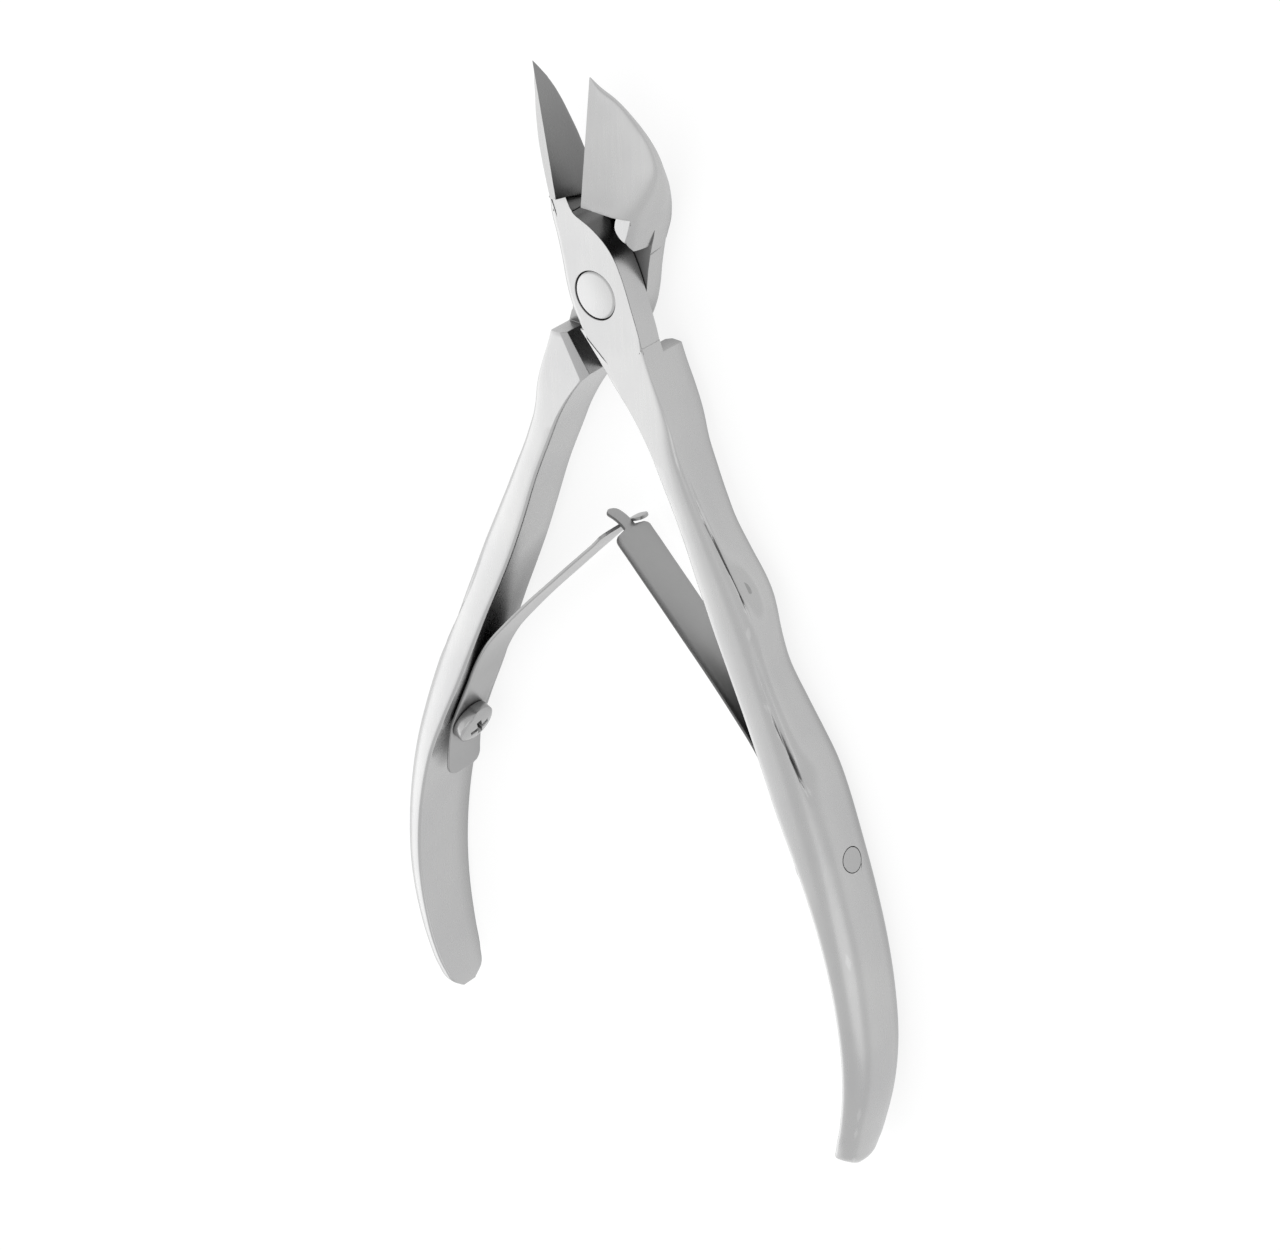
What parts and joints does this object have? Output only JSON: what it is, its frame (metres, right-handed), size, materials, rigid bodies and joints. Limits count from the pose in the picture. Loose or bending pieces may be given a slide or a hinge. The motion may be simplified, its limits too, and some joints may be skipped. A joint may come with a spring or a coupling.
{
  "type": "cuticle nipper",
  "caption": "Hand nipper with lap-jointed steel arms, long sharp jaws, a flush pivot pin and hooked leaf springs screwed inside curved handles.",
  "frame": {"origin": "on the pivot axis at the rear face of the joint, the flush rear end of the pivot pin", "axes": "+Z along the pivot pin towards the front face, +Y from the pivot towards the jaw tips along the bisector of the open arms, +X to the right seen from the front"},
  "size_m": [0.065, 0.118, 0.0101],
  "materials": {
    "arm_steel": "satin, finely brushed stainless steel",
    "pin_steel": "satin, ground flush with the joint",
    "spring_steel": "rolled spring strip, half gloss",
    "screw_steel": "bright, domed"
  },
  "bodies": {
    "front_arm": {"front_arm": "arm_steel", "pivot_pin": "pin_steel", "right_spring_screw": "screw_steel"},
    "rear_arm": {"rear_arm": "arm_steel", "left_spring_screw": "screw_steel"},
    "right_leaf": {"right_leaf_spring": "spring_steel"},
    "left_leaf": {"left_leaf_spring": "spring_steel"}
  },
  "joints": [
    {"name": "pivot", "type": "hinge", "parent": "front_arm", "child": "rear_arm", "pos_m": [0, 0, 0.0028], "axis": [0, 0, 1], "range_deg": [0, 16.2], "stiffness_Nm_per_rad": 1, "springref_deg": -6.88},
    {"name": "right_leaf_flex", "type": "hinge", "parent": "front_arm", "child": "right_leaf", "pos_m": [0.0204, -0.05, 0.0028], "axis": [0, 0, 1], "range_deg": [-8.2, 0], "deforming": ["right_leaf_spring"]},
    {"name": "left_leaf_flex", "type": "hinge", "parent": "rear_arm", "child": "left_leaf", "pos_m": [-0.0204, -0.05, 0.0028], "axis": [0, 0, 1], "range_deg": [0, 8.2], "deforming": ["left_leaf_spring"]}
  ],
  "couplings": [
    {"joint": "right_leaf_flex", "follows": "pivot", "ratio": -0.488},
    {"joint": "left_leaf_flex", "follows": "pivot", "ratio": 0.488}
  ]
}
